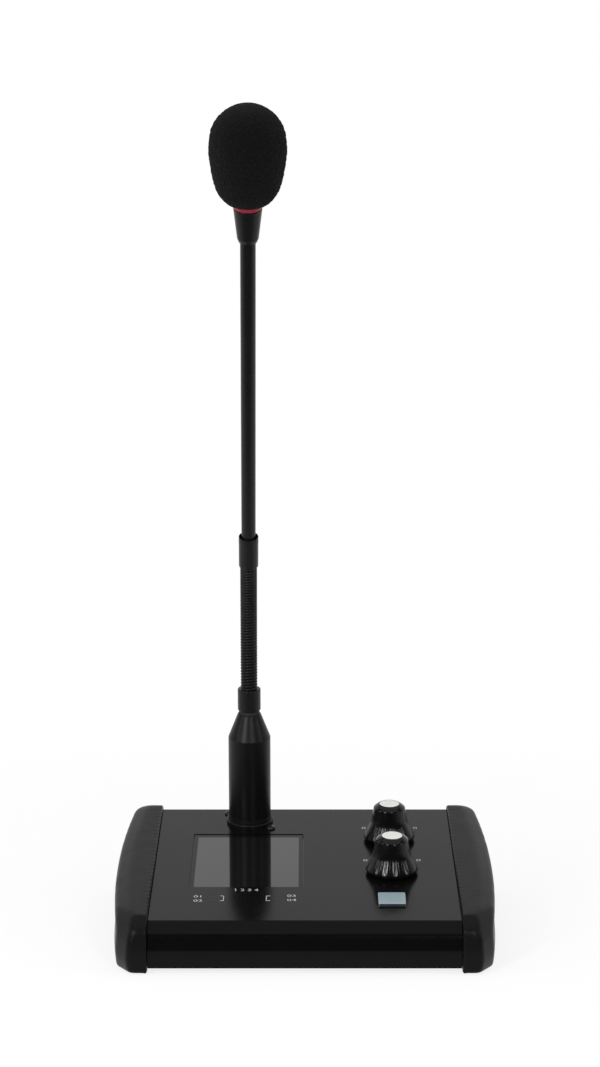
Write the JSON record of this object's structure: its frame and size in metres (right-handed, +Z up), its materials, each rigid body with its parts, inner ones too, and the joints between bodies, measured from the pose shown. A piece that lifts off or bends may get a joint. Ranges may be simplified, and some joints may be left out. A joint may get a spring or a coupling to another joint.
{
  "type": "paging microphone",
  "caption": "Desktop paging microphone: a sloped console with display, level knobs and talk button, and a bendable stem with a foam windscreen.",
  "frame": {"origin": "on the desk, under the middle of the whole: half way between the end caps, and half way between the front of the windscreen and the back of the console", "axes": "+X to the right of the person who speaks, +Y to the back, +Z up; the panel rises to the back"},
  "size_m": [0.1766, 0.1514, 0.3837],
  "materials": {
    "panel_paint": "satin",
    "tray_paint": "satin",
    "cap_plastic": "fine grain",
    "black_screws": "black oxide",
    "plated_steel": "zinc plated",
    "foot_rubber": "matte",
    "board": "solder mask",
    "brass": "plain",
    "jack_plastic": "moulded",
    "window": "polished",
    "display_plastic": "display off",
    "aluminium": "turned",
    "knob_plastic": "fluted",
    "knob_cap_plastic": "light grey",
    "button_plastic": "blue-grey",
    "dark_plastic": "moulded",
    "gloss_black": "gloss",
    "satin_black": "satin",
    "gooseneck_steel": "black wound steel",
    "ring_red": "translucent, unlit",
    "foam": "open-cell foam"
  },
  "bodies": {
    "console": {"top_cover": "panel_paint", "base_tray": "tray_paint", "left_end_cap": "cap_plastic", "right_end_cap": "cap_plastic", "end_cap_screws": "plated_steel", "cover_screws": "black_screws", "rubber_feet": "foot_rubber", "ballast_plate": "plated_steel", "ballast_screws": "black_screws", "board_standoffs": "brass", "main_board": "board", "board_screws": "plated_steel", "link_jack": "jack_plastic", "display_window": "window", "display_module": "display_plastic", "display_bracket": "plated_steel", "display_posts": "plated_steel", "display_screws": "plated_steel", "front_potentiometer": "plated_steel", "rear_potentiometer": "plated_steel", "potentiometer_washers": "plated_steel", "potentiometer_nuts": "plated_steel", "control_board": "board", "talk_switch": "dark_plastic", "talk_spring": "plated_steel", "stem_socket": "aluminium", "socket_ring": "gloss_black", "socket_insert": "dark_plastic", "socket_contacts": "brass", "socket_screws": "black_screws", "plug_insert": "dark_plastic", "plug_pins": "brass", "pedestal": "gloss_black", "sleeve_seal": "foot_rubber", "stem_sleeve": "satin_black", "gooseneck_lower": "gooseneck_steel"},
    "neck": {"gooseneck_upper": "gooseneck_steel"},
    "head": {"gooseneck_collar": "satin_black", "upper_tube": "satin_black", "capsule_holder": "satin_black", "light_ring": "ring_red", "capsule_housing": "aluminium", "mic_capsule": "aluminium", "foam_windscreen": "foam"},
    "front_level_knob": {"front_knob": "knob_plastic", "front_knob_cap": "knob_cap_plastic", "front_potentiometer_shaft": "aluminium"},
    "rear_level_knob": {"rear_knob": "knob_plastic", "rear_knob_cap": "knob_cap_plastic", "rear_potentiometer_shaft": "aluminium"},
    "talk_key": {"talk_button": "button_plastic"}
  },
  "joints": [
    {"name": "neck_side_bend", "type": "hinge", "parent": "console", "child": "neck", "pos_m": [-0.02689, 0.04253, 0.12381], "axis": [0.0349, -0.9819, -0.1862], "range_deg": [-45, 45], "deforming": ["gooseneck_lower"]},
    {"name": "neck_fore_bend", "type": "hinge", "parent": "neck", "child": "head", "pos_m": [-0.02674, 0.03362, 0.15523], "axis": [0.9994, 0.0346, 0.0049], "range_deg": [-60, 45], "deforming": ["gooseneck_upper"]},
    {"name": "front_knob_turn", "type": "hinge", "parent": "console", "child": "front_level_knob", "pos_m": [0.0406, -0.00732, 0.03092], "axis": [0, -0.1392, 0.9903], "range_deg": [-150, 150]},
    {"name": "rear_knob_turn", "type": "hinge", "parent": "console", "child": "rear_level_knob", "pos_m": [0.0406, 0.0323, 0.03649], "axis": [0, -0.1392, 0.9903], "range_deg": [-150, 150]},
    {"name": "talk_press", "type": "slide", "parent": "console", "child": "talk_key", "axis": [0, 0.1392, -0.9903], "range_m": [0, 0.001], "stiffness_N_per_m": 1200, "springref_m": -0.0005, "deforming": ["talk_spring"]}
  ]
}
